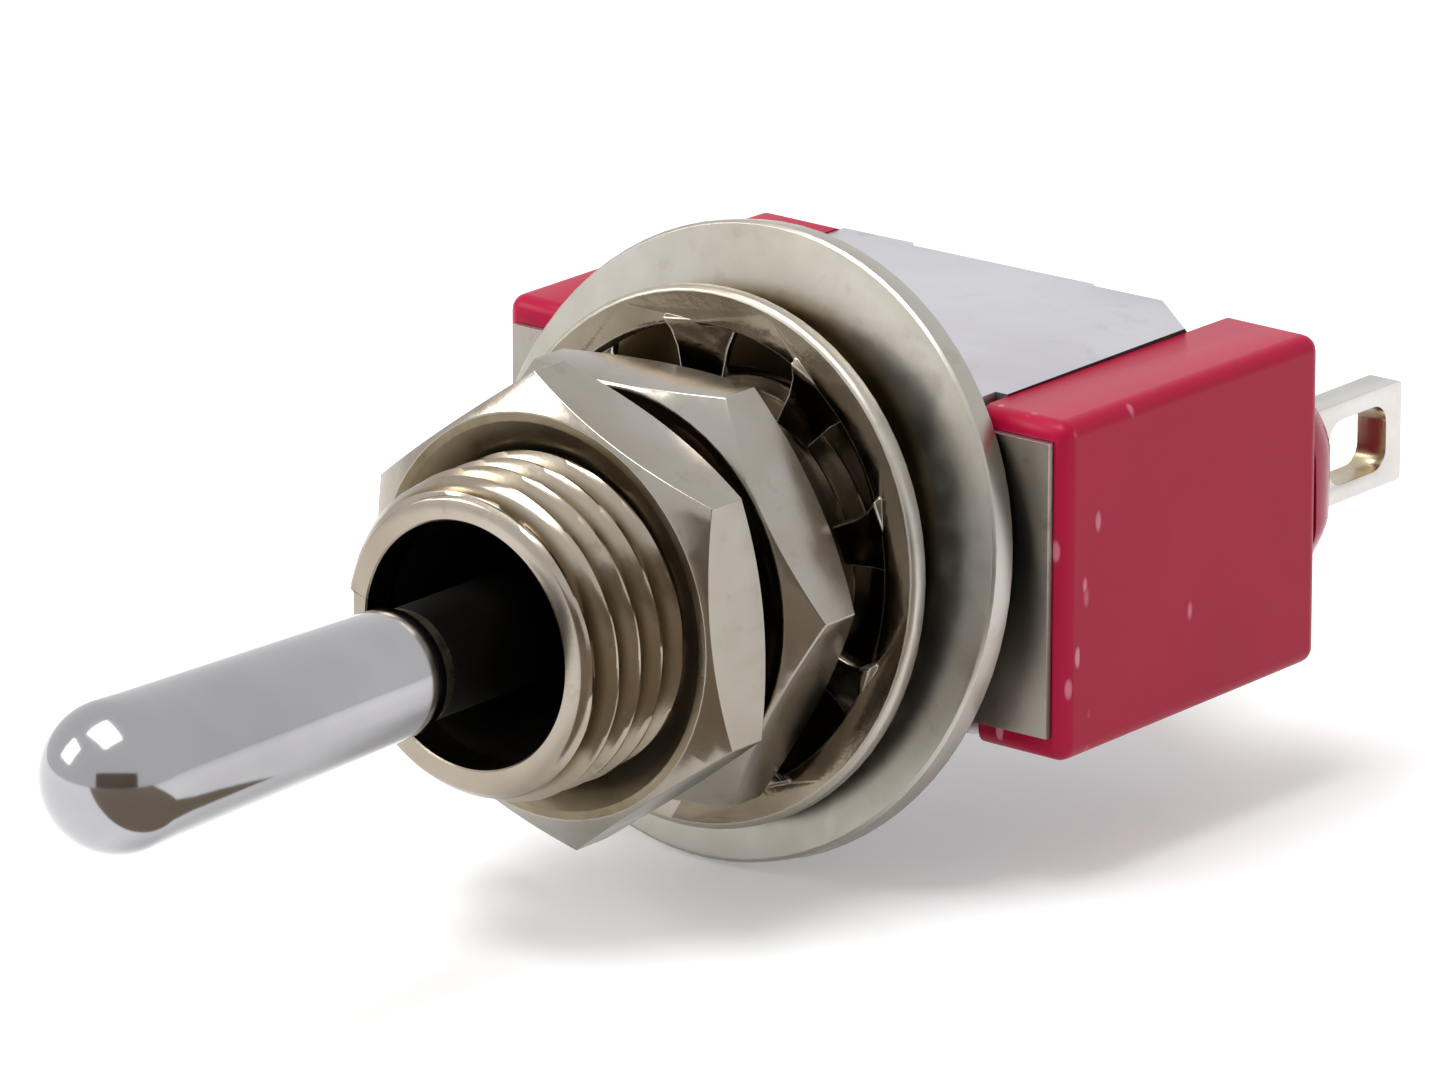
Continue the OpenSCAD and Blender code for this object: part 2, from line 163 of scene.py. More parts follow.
def paintedCornerShade(tree, colour, s):
    # painted shade: corners and narrow gaps, found by ambient occlusion, drawn darker and browner
    reach = {"Distance": s["shadeReach"]}
    near = node(tree, "ShaderNodeAmbientOcclusion", reach, samples=metalSet["shadeSamples"]).outputs["AO"]
    low, high = s["shadeRange"]
    halo = ramp(tree, near, [(low, grey(metalSet["shadeEdgeShare"])), (high, grey(0))])
    colour = mixColour(tree, halo, colour, (*s["shadeEdgeColour"], 1))
    core = ramp(tree, near, [(low * metalSet["shadeCoreShare"], grey(1)), ((low + high) / 2, grey(0))])
    return mixColour(tree, core, colour, (*s["shadeColour"], 1))


def paintedRingShade(tree, colour, flat, s):
    # painted shade: a dark ring round the bushing's axis, brown at its outer edge, for the lock washer's
    # shade and reflection on the locating washer and for the shade in the thread's roots
    across = node(tree, "ShaderNodeVectorMath", {0: flat, 1: (1, 0, 1)}, operation="MULTIPLY").outputs[0]
    radius = node(tree, "ShaderNodeVectorMath", {0: across}, operation="LENGTH").outputs["Value"]
    bands = [((s["shadeRingFrom"], s["shadeRingTo"]), s["shadeEdgeColour"]),
             ((s["shadeRingFrom"] - metalSet["shadeRingLap"], s["shadeRingMid"]), s["shadeColour"])]
    for span, tint in bands:
        shade = ranged(tree, radius, span, (1.0, 0.0), interpolation_type="SMOOTHSTEP")
        colour = mixColour(tree, shade, colour, (*tint, 1))
    return colour


def platedMetal(name, s):
    # plated metal: cloudy tint, tarnish, fine marks along one axis, and painted shade in corners and rings
    # where s asks for it
    mat, tree, bsdf = newMaterial(name)
    flat = objectCoords(tree)
    cloud = noise(tree, flat, s["cloudScale"], detail=3)
    colour = ramp(tree, cloud, list(zip(metalSet["cloudStops"], (s["dark"], s["light"]))))
    stain = noise(tree, flat, s["cloudScale"] * metalSet["stainFiner"], detail=5, rough=0.65)
    stained = ramp(tree, stain, list(zip(metalSet["stainStops"], (grey(0), grey(s["stain"])))))
    colour = mixColour(tree, stained, colour, (*s["stainColour"], 1))
    drawn = noise(tree, objectCoords(tree, s["grain"]), scale=1, detail=3, rough=0.6)
    rough = ranged(tree, drawn, metalSet["grainStops"], s["rough"])
    # painted shade: darker, browner colour in corners and gaps, and dark rings round the axis
    if "shadeReach" in s:
        colour = paintedCornerShade(tree, colour, s)
    if "shadeRingFrom" in s:
        colour = paintedRingShade(tree, colour, flat, s)
    tree.links.new(colour, bsdf.inputs["Base Color"])
    tree.links.new(rough, bsdf.inputs["Roughness"])
    height = mathNode(tree, "ADD", drawn, noise(tree, flat, metalSet["pitScale"], detail=2))
    tree.links.new(bump(tree, height, s["bump"]), bsdf.inputs["Normal"])
    bsdf.inputs["Metallic"].default_value = 1
    return mat


plasticSet = {"cloudScale": 350, "fineScale": 2600, "nickTurn": (0.3, 0.2, 0.15), "nickCore": 0.6,
              "nickTone": (0.25, 0.8)}


def mouldedPlastic(name, s):
    # moulded plastic: faint clouding, fine texture, short pale nicks that crowd the front edge
    mat, tree, bsdf = newMaterial(name)
    flat = objectCoords(tree)
    cloud = noise(tree, flat, plasticSet["cloudScale"], detail=3)
    colour = mixColour(tree, cloud, (*s["deep"], 1), (*s["base"], 1))
    stroke = objectCoords(tree, (1, 1, s["nickStretch"]), plasticSet["nickTurn"])
    cells = node(tree, "ShaderNodeTexVoronoi", {"Vector": stroke, "Scale": s["nickScale"]})
    span = (s["nickSize"] * plasticSet["nickCore"], s["nickSize"])
    inside = ranged(tree, cells.outputs["Distance"], span, (1.0, 0.0))
    parts = node(tree, "ShaderNodeSeparateColor", {0: cells.outputs["Color"]})
    along = node(tree, "ShaderNodeSeparateXYZ", {0: flat}).outputs["Y"]
    limit = ranged(tree, along, (s["wearAndReflectionFrom"], s["wearAndReflectionTo"]), (s["nickNear"], s["nickFar"]))
    chosen = mathNode(tree, "GREATER_THAN", parts.outputs[0], limit)
    faint = ranged(tree, parts.outputs[1], (0.0, 1.0), plasticSet["nickTone"])
    nick = mathNode(tree, "MULTIPLY", mathNode(tree, "MULTIPLY", inside, chosen), faint)
    colour = mixColour(tree, nick, colour, (*s["dust"], 1))
    tree.links.new(colour, bsdf.inputs["Base Color"])
    tree.links.new(ranged(tree, cloud, (0.0, 1.0), s["rough"]), bsdf.inputs["Roughness"])
    height = mathNode(tree, "SUBTRACT", noise(tree, flat, plasticSet["fineScale"], detail=2), nick)
    tree.links.new(bump(tree, height, s["bump"]), bsdf.inputs["Normal"])
    bsdf.inputs["Specular IOR Level"].default_value = s["shine"]
    return mat


chromePlate = platedMetal("chromePlate", {
    "dark": (0.34, 0.335, 0.352), "light": (0.4, 0.395, 0.41), "cloudScale": 300, "stain": 0.12,
    "stainColour": (0.3, 0.3, 0.33), "grain": (900, 120, 900), "rough": (0.08, 0.14), "bump": 0.02})

# the shade settings paint darker, browner colour into corners and gaps
nickelSet = {
    "dark": (0.275, 0.24, 0.195), "light": (0.385, 0.36, 0.325), "cloudScale": 260, "stain": 0.5,
    "stainColour": (0.2, 0.155, 0.1), "grain": (2200, 500, 2200), "rough": (0.17, 0.27), "bump": 0.06,
    "shadeReach": 0.0006, "shadeRange": (0.14, 0.45), "shadeColour": (0.025, 0.015, 0.008),
    "shadeEdgeColour": (0.13, 0.095, 0.055)}
nickelTurned = platedMetal("nickelTurned", {
    **nickelSet, "dark": (0.29, 0.245, 0.19), "light": (0.41, 0.37, 0.32), "grain": (500, 6500, 500),
    "shadeReach": 0.0004})
# painted shade: a dark brown ring in the thread's roots
threadTurned = platedMetal("threadTurned", {
    "dark": (0.25, 0.205, 0.145), "light": (0.38, 0.335, 0.275), "cloudScale": 320, "stain": 0.55,
    "stainColour": (0.14, 0.1, 0.055), "grain": (500, 6500, 500), "rough": (0.16, 0.26), "bump": 0.05,
    "shadeRingFrom": 0.00284, "shadeRingMid": 0.00289, "shadeRingTo": 0.00301, "shadeColour": (0.05, 0.034, 0.018),
    "shadeEdgeColour": (0.14, 0.105, 0.06)})
shadedThread = platedMetal("shadedThread", {
    "dark": (0.03, 0.02, 0.012), "light": (0.09, 0.07, 0.048), "cloudScale": 700, "stain": 0.3,
    "stainColour": (0.2, 0.16, 0.11), "grain": (500, 6500, 500), "rough": (0.25, 0.4), "bump": 0.08})
nickelFlat = platedMetal("nickelFlat", nickelSet)
# painted shade: the front nut's recessed sink drawn dark brown
nutSinkShade = platedMetal("nutSinkShade", {
    "dark": (0.13, 0.1, 0.06), "light": (0.24, 0.2, 0.14), "cloudScale": 500, "stain": 0.4,
    "stainColour": (0.06, 0.045, 0.025), "grain": (500, 6500, 500), "rough": (0.3, 0.42), "bump": 0.06})
# painted shade: near-black faces turned to the narrow gap between the nuts
nutGapShade = platedMetal("nutGapShade", {
    "dark": (0.02, 0.012, 0.006), "light": (0.05, 0.034, 0.018), "cloudScale": 500, "stain": 0.3,
    "stainColour": (0.09, 0.07, 0.04), "grain": (500, 6500, 500), "rough": (0.3, 0.42), "bump": 0.06})

stampedSet = {
    "dark": (0.37, 0.34, 0.29), "light": (0.45, 0.43, 0.395), "cloudScale": 260, "stain": 0.4,
    "stainColour": (0.26, 0.22, 0.16), "grain": (2200, 500, 2200), "rough": (0.29, 0.38), "bump": 0.06}
nickelStamped = platedMetal("nickelStamped", stampedSet)
# painted shade and reflection: a dark brown ring on the locating washer's face round the lock washer
washerFrontShaded = platedMetal("washerFrontShaded", {
    **stampedSet, "shadeRingFrom": 0.00455, "shadeRingMid": 0.00475, "shadeRingTo": 0.00502,
    "shadeColour": (0.045, 0.03, 0.013), "shadeEdgeColour": (0.24, 0.19, 0.115)})
springWasher = platedMetal("springWasher", {
    **stampedSet, "dark": (0.36, 0.32, 0.26), "light": (0.46, 0.44, 0.4), "rough": (0.3, 0.42)})
# painted shade: the lock washer's teeth drawn darker than its ring
toothFaceShade = platedMetal("toothFaceShade", {
    **nickelSet, "dark": (0.12, 0.095, 0.065), "light": (0.3, 0.26, 0.205), "rough": (0.1, 0.2),
    "bump": 0.14})
# painted highlight: the teeth's broken edges drawn near white
toothEdgeHighlight = platedMetal("toothEdgeHighlight", {
    "dark": (0.6, 0.57, 0.52), "light": (0.86, 0.84, 0.81), "cloudScale": 900, "stain": 0.4,
    "stainColour": (0.16, 0.13, 0.09), "grain": (900, 900, 900), "rough": (0.1, 0.22), "bump": 0.08})

# painted shade in the plate's corners and gaps through the shade settings
bareSheet = platedMetal("bareSheet", {
    "dark": (0.5, 0.485, 0.52), "light": (0.58, 0.57, 0.61), "cloudScale": 220, "stain": 0.4,
    "stainColour": (0.3, 0.28, 0.28), "grain": (260, 2600, 2600), "rough": (0.3, 0.44), "bump": 0.1,
    "shadeReach": 0.0006, "shadeRange": (0.15, 0.5), "shadeColour": (0.03, 0.025, 0.022),
    "shadeEdgeColour": (0.2, 0.18, 0.17)})
# painted shade: the bracket's front face and ears drawn darker and browner than its top, with wide painted
# shade near corners
frontSheetShade = platedMetal("frontSheetShade", {
    "dark": (0.26, 0.235, 0.2), "light": (0.36, 0.335, 0.3), "cloudScale": 260, "stain": 0.6,
    "stainColour": (0.13, 0.1, 0.07), "grain": (1800, 1800, 260), "rough": (0.29, 0.42), "bump": 0.14,
    "shadeReach": 0.0026, "shadeRange": (0.16, 0.8), "shadeColour": (0.035, 0.026, 0.016),
    "shadeEdgeColour": (0.12, 0.095, 0.07)})
cutSheet = platedMetal("cutSheet", {
    "dark": (0.035, 0.032, 0.034), "light": (0.075, 0.07, 0.07), "cloudScale": 900, "stain": 0.4,
    "stainColour": (0.16, 0.13, 0.1), "grain": (2600, 600, 600), "rough": (0.35, 0.5), "bump": 0.2})

silverLug = platedMetal("silverLug", {
    "dark": (0.52, 0.49, 0.46), "light": (0.62, 0.6, 0.585), "cloudScale": 420, "stain": 0.25,
    "stainColour": (0.5, 0.4, 0.24), "grain": (2600, 400, 900), "rough": (0.29, 0.36), "bump": 0.08})
eyeWall = platedMetal("eyeWall", {
    "dark": (0.34, 0.27, 0.17), "light": (0.55, 0.47, 0.33), "cloudScale": 900, "stain": 0.4,
    "stainColour": (0.24, 0.12, 0.09), "grain": (1600, 500, 500), "rough": (0.2, 0.34), "bump": 0.1})
contactSilver = platedMetal("contactSilver", {
    "dark": (0.74, 0.72, 0.68), "light": (0.86, 0.85, 0.82), "cloudScale": 500, "stain": 0.3,
    "stainColour": (0.35, 0.3, 0.24), "grain": (1500, 1500, 1500), "rough": (0.2, 0.36), "bump": 0.08})
springBronze = platedMetal("springBronze", {
    "dark": (0.6, 0.4, 0.18), "light": (0.78, 0.58, 0.32), "cloudScale": 400, "stain": 0.4,
    "stainColour": (0.3, 0.18, 0.08), "grain": (400, 2600, 2600), "rough": (0.2, 0.34), "bump": 0.08})
brightSteel = platedMetal("brightSteel", {
    "dark": (0.5, 0.5, 0.52), "light": (0.64, 0.64, 0.66), "cloudScale": 500, "stain": 0.3,
    "stainColour": (0.26, 0.23, 0.2), "grain": (2500, 600, 2500), "rough": (0.2, 0.34), "bump": 0.06})
darkNeck = platedMetal("darkNeck", {
    "dark": (0.004, 0.0036, 0.003), "light": (0.008, 0.007, 0.006), "cloudScale": 700, "stain": 0.3,
    "stainColour": (0.015, 0.012, 0.009), "grain": (2500, 700, 2500), "rough": (0.7, 0.85), "bump": 0.1})
# painted shade: the bushing's bore wall drawn near black
boreShade = platedMetal("boreShade", {
    "dark": (0.018, 0.016, 0.013), "light": (0.034, 0.03, 0.026), "cloudScale": 700, "stain": 0.3,
    "stainColour": (0.06, 0.05, 0.035), "grain": (700, 2500, 700), "rough": (0.45, 0.6), "bump": 0.1})
# painted reflection: an olive band at the lever's inner chamfer
oliveEdgeReflection = platedMetal("oliveEdgeReflection", {
    "dark": (0.2, 0.18, 0.12), "light": (0.34, 0.31, 0.24), "cloudScale": 900, "stain": 0.4,
    "stainColour": (0.1, 0.085, 0.05), "grain": (2500, 700, 2500), "rough": (0.25, 0.4), "bump": 0.08})

redMoulding = mouldedPlastic("redMoulding", {
    "deep": (0.3, 0.002, 0.028), "base": (0.37, 0.004, 0.037), "dust": (0.66, 0.28, 0.36),
    "nickScale": 2300, "nickStretch": 0.42, "nickSize": 0.23, "nickNear": 0.25, "nickFar": 0.945,
    "wearAndReflectionFrom": 0.0003, "wearAndReflectionTo": 0.0011, "rough": (0.29, 0.38), "bump": 0.06, "shine": 0.14})
redResin = mouldedPlastic("redResin", {
    "deep": (0.28, 0.003, 0.03), "base": (0.36, 0.006, 0.04), "dust": (0.7, 0.32, 0.38),
    "nickScale": 2600, "nickStretch": 0.8, "nickSize": 0.12, "nickNear": 0.9, "nickFar": 0.9,
    "wearAndReflectionFrom": 0.0, "wearAndReflectionTo": 0.001, "rough": (0.16, 0.26), "bump": 0.12, "shine": 0.22})
paleNylon = mouldedPlastic("paleNylon", {
    "deep": (0.7, 0.7, 0.66), "base": (0.8, 0.8, 0.76), "dust": (0.6, 0.58, 0.52),
    "nickScale": 2000, "nickStretch": 0.6, "nickSize": 0.1, "nickNear": 0.95, "nickFar": 0.95,
    "wearAndReflectionFrom": 0.0, "wearAndReflectionTo": 0.001, "rough": (0.35, 0.5), "bump": 0.06, "shine": 0.4})
print("materials ready")


# shared mesh helpers, sizes in millimetres

meshSet = {"weld": 0.001, "sliver": 0.0002, "flatAngle": 0.6, "onAxis": 1e-6}


def dress(obj, body, replaced):
    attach(obj, body)
    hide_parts(replaced)
    return obj


def newObject(name, mesh, mats=()):
    obj = bpy.data.objects.new(name, mesh)
    bpy.context.collection.objects.link(obj)
    for mat in mats:
        mesh.materials.append(mat)
    return obj


def toMesh(name, bm):
    mesh = bpy.data.meshes.new(name)
    bm.to_mesh(mesh)
    bm.free()
    return mesh


def smooth(mesh, angle):
    # shade smooth, with sharp edges past the angle
    bm = bmesh.new()
    bm.from_mesh(mesh)
    for f in bm.faces:
        f.smooth = True
    for e in bm.edges:
        e.smooth = len(e.link_faces) == 2 and e.calc_face_angle(0) < math.radians(angle)
    bm.to_mesh(mesh)
    bm.free()


def bakeModifiers(obj):
    depsgraph = bpy.context.evaluated_depsgraph_get()
    mesh = bpy.data.meshes.new_from_object(obj.evaluated_get(depsgraph))
    old = obj.data
    obj.modifiers.clear()
    obj.data = mesh
    bpy.data.meshes.remove(old)


def addBevel(obj, width, segments, angle):
    bevel = obj.modifiers.new("edges", "BEVEL")
    bevel.width = width * mm
    bevel.segments = segments
    bevel.limit_method = "ANGLE"
    bevel.angle_limit = math.radians(angle)
    bevel.miter_outer = "MITER_ARC"
    bevel.harden_normals = True
    for poly in obj.data.polygons:
        poly.use_smooth = True


def softEdged(nodeName, mats, width, angle=30, pick=None, joinFlats=True):
    # the solid's own form with its edges broken, as tumbling or moulding leaves them
    bm = bmesh.new()
    bm.from_mesh(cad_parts[nodeName].data)
    bmesh.ops.remove_doubles(bm, verts=bm.verts, dist=meshSet["weld"] * mm)
    if joinFlats:
        flat = math.radians(meshSet["flatAngle"])
        bmesh.ops.dissolve_limit(bm, angle_limit=flat, verts=bm.verts, edges=bm.edges)
    mesh = toMesh(nodeName + "Soft", bm)
    mesh.materials.clear()
    obj = newObject(nodeName + "Soft", mesh, mats)
    addBevel(obj, width, segments=3, angle=angle)
    bakeModifiers(obj)
    if pick:
        for poly in obj.data.polygons:
            poly.material_index = pick(poly.center / mm, poly.normal, poly.area / mm ** 2)
    return dress(obj, "switch_body", nodeName)


def boxObject(name, low, high, place=Matrix()):
    bm = bmesh.new()
    bmesh.ops.create_cube(bm, size=1)
    for v in bm.verts:
        v.co = place @ (Vector([(a + b) / 2 + c * (b - a) for a, b, c in zip(low, high, v.co)]) * mm)
    bmesh.ops.recalc_face_normals(bm, faces=bm.faces)
    return newObject(name, toMesh(name, bm))


def cutWith(obj, cutters, operation="DIFFERENCE"):
    for cutter in cutters:
        boolean = obj.modifiers.new(cutter.name, "BOOLEAN")
        boolean.operation = operation
        boolean.solver = "EXACT"
        boolean.object = cutter
    bakeModifiers(obj)
    for cutter in cutters:
        old = cutter.data
        bpy.data.objects.remove(cutter)
        bpy.data.meshes.remove(old)


def dropSlivers(mesh):
    bm = bmesh.new()
    bm.from_mesh(mesh)
    bmesh.ops.dissolve_degenerate(bm, dist=meshSet["sliver"] * mm, edges=bm.edges)
    bm.to_mesh(mesh)
    bm.free()


def turnedMesh(name, stations, columns, place, pick):
    # stations start with [radius, y], and run round a closed loop or from axis to axis
    bm = bmesh.new()
    rings = []
    for st in stations:
        if st[0] < meshSet["onAxis"]:
            rings.append([bm.verts.new(Vector((0, st[1], 0)) * mm)])
        else:
            rings.append([bm.verts.new(Vector(place(st, c)) * mm) for c in columns])
    closed = stations[0][0] > meshSet["onAxis"]
    n = len(columns)
    for k in list(range(len(rings) - 1)) + ([-1] if closed else []):
        a, b = rings[k], rings[k + 1]
        for j in range(n):
            i = (j + 1) % n
            if len(a) == 1:
                f = bm.faces.new((a[0], b[i], b[j]))
            elif len(b) == 1:
                f = bm.faces.new((a[j], a[i], b[0]))
            else:
                f = bm.faces.new((a[j], a[i], b[i], b[j]))
            f.material_index = pick(stations[k], stations[k + 1])
    bmesh.ops.dissolve_degenerate(bm, dist=meshSet["sliver"] * mm, edges=bm.edges)
    bmesh.ops.recalc_face_normals(bm, faces=bm.faces)
    return toMesh(name, bm)


def roundPlace(st, angle):
    return st[0] * math.cos(angle), st[1], st[0] * math.sin(angle)


def circleColumns(n):
    return [2 * math.pi * j / n for j in range(n)]


def arcPoints(cr, cy, r, a0, a1, n):
    angles = [math.radians(a0 + (a1 - a0) * i / n) for i in range(n + 1)]
    return [[cr + r * math.cos(a), cy + r * math.sin(a)] for a in angles]


def evenSteps(a, b, step):
    # from a towards b, which is left out
    n = max(1, round(abs(b[1] - a[1]) / step))
    return [[a[0] + (b[0] - a[0]) * i / n, a[1] + (b[1] - a[1]) * i / n] for i in range(n)]


# toggle lever

leverSet = {"tip": -20.16, "tipR": 1.41, "rootR": 1.19, "rootY": -11.1, "neckR": 1.08, "ballR": 2.1,
            "pivotY": -3.9, "tailR": 0.95, "tailEnd": 0.9, "boreR": 0.65, "boreEnd": -3.1,
            "tipFrom": -89, "batTo": (0.02, -0.06), "rootEdge": [(0.015, -0.05), (-0.01, 0.01)],
            "neckEdge": [(0.015, 0.3), (0, 0.34)], "neckFrom": 0.4, "neckTo": -2.0, "tailEdge": 0.06,
            "boreEdge": 0.04, "wearAndReflectionFrom": -0.02, "wearAndReflectionTo": 0.33, "reflectionR": 1, "tipSteps": 24,
            "ballSteps": 20, "batStep": 0.5, "neckStep": 0.8, "columns": 112}


def makeLever(s):
    tipC = s["tip"] + s["tipR"]
    slope = math.degrees(math.atan2(s["tipR"] - s["rootR"], s["rootY"] - tipC))
    neckMeet = math.degrees(math.asin(s["neckR"] / s["ballR"]))
    tailMeet = math.degrees(math.asin(s["tailR"] / s["ballR"]))
    batEnd, *rootEdge = [[s["rootR"] + r, s["rootY"] + y] for r, y in (s["batTo"], *s["rootEdge"])]
    neckEdge = [[s["neckR"] + r, s["rootY"] + y] for r, y in s["neckEdge"]]
    neckStart = [s["neckR"], s["rootY"] + s["neckFrom"]]
    neckEnd = [s["neckR"], s["pivotY"] + s["neckTo"]]
    stations = [[0, s["tip"]]] + arcPoints(0, tipC, s["tipR"], s["tipFrom"], -slope, s["tipSteps"])
    stations += evenSteps(stations[-1], batEnd, s["batStep"]) + rootEdge + neckEdge
    stations += evenSteps(neckStart, neckEnd, s["neckStep"])
    stations += arcPoints(0, s["pivotY"], s["ballR"], -90 + neckMeet, 90 - tailMeet, s["ballSteps"])
    stations += [[s["tailR"], s["tailEnd"] - s["tailEdge"]],
                 [s["tailR"] - s["tailEdge"], s["tailEnd"]],
                 [s["boreR"] + s["boreEdge"], s["tailEnd"]],
                 [s["boreR"], s["tailEnd"] - s["boreEdge"]],
                 [s["boreR"], s["boreEnd"]],
                 [0, s["boreEnd"]]]

    def pick(a, b):
        # 0 the bright bat, 1 an olive painted reflection at its inner edge, 2 the dark neck and ball
        y = (a[1] + b[1]) / 2
        if y < s["rootY"] + s["wearAndReflectionFrom"]:
            return 0
        return 1 if y < s["rootY"] + s["wearAndReflectionTo"] and a[0] > s["reflectionR"] else 2

    mesh = turnedMesh("leverBat", stations, circleColumns(s["columns"]), roundPlace, pick)
    obj = newObject("leverBat", mesh, [chromePlate, oliveEdgeReflection, darkNeck])
    dress(obj, "lever", "toggle_lever")
    smooth(obj.data, angle=24)


makeLever(leverSet)
print("lever made")


# bushing with its thread

bushingSet = {"tipY": -9.19, "tipR": 2.776, "r": 3.125, "chamfer": 0.55, "mouthR": 2.35, "pitch": 0.635,
              "depth": 0.34, "crest": 0.1, "flank": 0.78, "threadTo": -0.02, "keyHalf": 0.55, "keyX": 2.625,
              "keyTurnR": 2.9, "keyFromR": 2.66, "keyShare": 0.99, "keyTo": 0.001, "throatR": 1.8,
              "throatY": -6.4, "socketY": -5.15, "socketR": 2.15, "spigotR": 2.6, "spigotY": 0.0015,
              "headR": 2.68, "plate": 0.45, "head": 0.3, "mouthEdge": 0.03, "tipEdge": 0.04, "headEdge": 0.05,
              "funnel": 0.8, "boreFrom": 0.5, "threadFrom": 0.2, "shadedFrom": -3.1, "stepsPerPitch": 14,
              "columns": 132}


def makeBushing(s):
    def threadR(y, angle):
        phase = (y / s["pitch"] + angle / (2 * math.pi)) % 1.0
        offCrest = abs(2 * phase - 1)
        cut = min(max((offCrest - s["crest"]) / s["flank"], 0), 1)
        return s["r"] - s["depth"] * cut

    # plain angles all round, then three columns that follow the keyway's corners and floor
    edge = math.asin(s["keyHalf"] / s["keyTurnR"])
    columns = []
    n = s["columns"]
    for j in range(n + 1):
        angle = -math.pi + edge + (2 * math.pi - 2 * edge) * j / n
        columns.append((angle, "edge" if j in (0, n) else None, math.sin(angle)))
    corner = math.pi - edge * s["keyShare"]
    columns += [(corner, "floor", 1), (math.pi, "mid", 0), (-corner, "floor", -1)]

    def place(st, column):
        angle, key, sign = column
        r, y, kind = st
        grown = min(r, threadR(y, angle)) if kind == "thread" else r
        inKey = y < s["keyTo"] and kind != "inner" and grown > s["keyFromR"]
        if not (key and inKey):
            return grown * math.cos(angle), y, grown * math.sin(angle)
        z = 0 if key == "mid" else math.copysign(s["keyHalf"], sign)
        x = math.sqrt(grown ** 2 - z ** 2) if key == "edge" else s["keyX"]
        return -x, y, z

    step = s["pitch"] / s["stepsPerPitch"]
    startY = s["tipY"] + s["mouthEdge"]
    stations = [[s["mouthR"] + s["mouthEdge"], s["tipY"], "face"],
                [s["tipR"] - s["tipEdge"], s["tipY"], "face"],
                [s["tipR"], startY, "thread"]]
    y = startY + step
    while y < s["threadTo"]:
        r = min(s["r"], s["tipR"] + (s["r"] - s["tipR"]) * (y - s["tipY"]) / s["chamfer"])
        stations.append([r, y, "thread"])
        y += step
    back = s["plate"] + s["head"]
    stations += [[s["r"], 0, "thread"],
                 [s["spigotR"], s["spigotY"], "face"],
                 [s["spigotR"], s["plate"], "face"],
                 [s["headR"], s["plate"], "face"],
                 [s["headR"], back - s["headEdge"], "face"],
                 [s["headR"] - s["headEdge"], back, "face"],
                 [s["socketR"], back, "inner"],
                 [s["socketR"], s["socketY"], "inner"],
                 [s["throatR"], s["socketY"], "inner"],
                 [s["throatR"], s["throatY"], "inner"],
                 [s["mouthR"], s["tipY"] + s["funnel"], "inner"],
                 [s["mouthR"], startY, "inner"]]

    def pick(a, b):
        # 0 the tip's face and chamfer, 1 the bore in painted shade, 2 the end in the washers' shade, 3 the
        # thread with painted shade in its roots
        if b[2] == "inner" and b[1] > s["tipY"] + s["boreFrom"]:
            return 1
        if min(a[1], b[1]) > s["shadedFrom"]:
            return 2
        return 3 if a[2] == "thread" and a[1] > s["tipY"] + s["threadFrom"] else 0

    mesh = turnedMesh("threadedBushing", stations, columns, place, pick)
    obj = newObject("threadedBushing", mesh, [nickelTurned, boreShade, shadedThread, threadTurned])
    dress(obj, "switch_body", "bushing")
    smooth(obj.data, angle=38)


makeBushing(bushingSet)
print("bushing made")


# nuts, washers, bracket and lugs keep their solids' form with broken edges

nutSet = {"edge": 0.045, "angle": 22, "sinkR": 3.74, "gapY": -6}
washerSet = {"edge": 0.008, "front": -0.9}
toothSet = {"edge": 0.04, "ringR": 4.36, "edgeArea": 0.02}
sheetSet = {"edge": 0.05, "front": -0.55, "frontY": 0.7, "side": 0.6, "sideY": 0.6, "sideX": 4.5,
            "earX": 4.75}
lugSet = {"edge": 0.05, "eyeY": (10.2, 12.17), "eyeZ": 0.655, "side": 0.6}


def nutSide(centre, normal, area):
    # 0 flats and chamfers, 1 the front nut's open sink in painted shade, 2 faces turned to the gap between
    # the nuts in darker painted shade
    if math.hypot(centre.x, centre.z) > nutSet["sinkR"]:
        return 0
    return 1 if centre.y < nutSet["gapY"] else 2


def washerSide(centre, normal, area):
    # 0 back and rim, 1 the front face with its painted shade ring
    return 1 if normal.y < washerSet["front"] else 0


def toothSide(centre, normal, area):
    # 0 the ring, 1 the teeth's faces in painted shade, 2 their broken edges with a painted highlight
    if math.hypot(centre.x, centre.z) > toothSet["ringR"]:
        return 0
    return 2 if area < toothSet["edgeArea"] else 1


def sheetSide(centre, normal, area):
    # 0 open plate, 1 front and folds in painted shade, 2 the dark cut edges
    s = sheetSet
    if normal.y < s["front"] and centre.y < s["frontY"]:
        return 1
    if abs(normal.x) > s["side"] and centre.y > s["sideY"] and abs(centre.x) > s["sideX"]:
        return 2
    return 1 if abs(centre.x) > s["earX"] else 0


def lugSide(centre, normal, area):
    # 0 the lug, 1 the wall of its eye
    low, high = lugSet["eyeY"]
    inEye = low < centre.y < high and abs(centre.z) < lugSet["eyeZ"]
    return 1 if inEye and abs(normal.x) < lugSet["side"] else 0


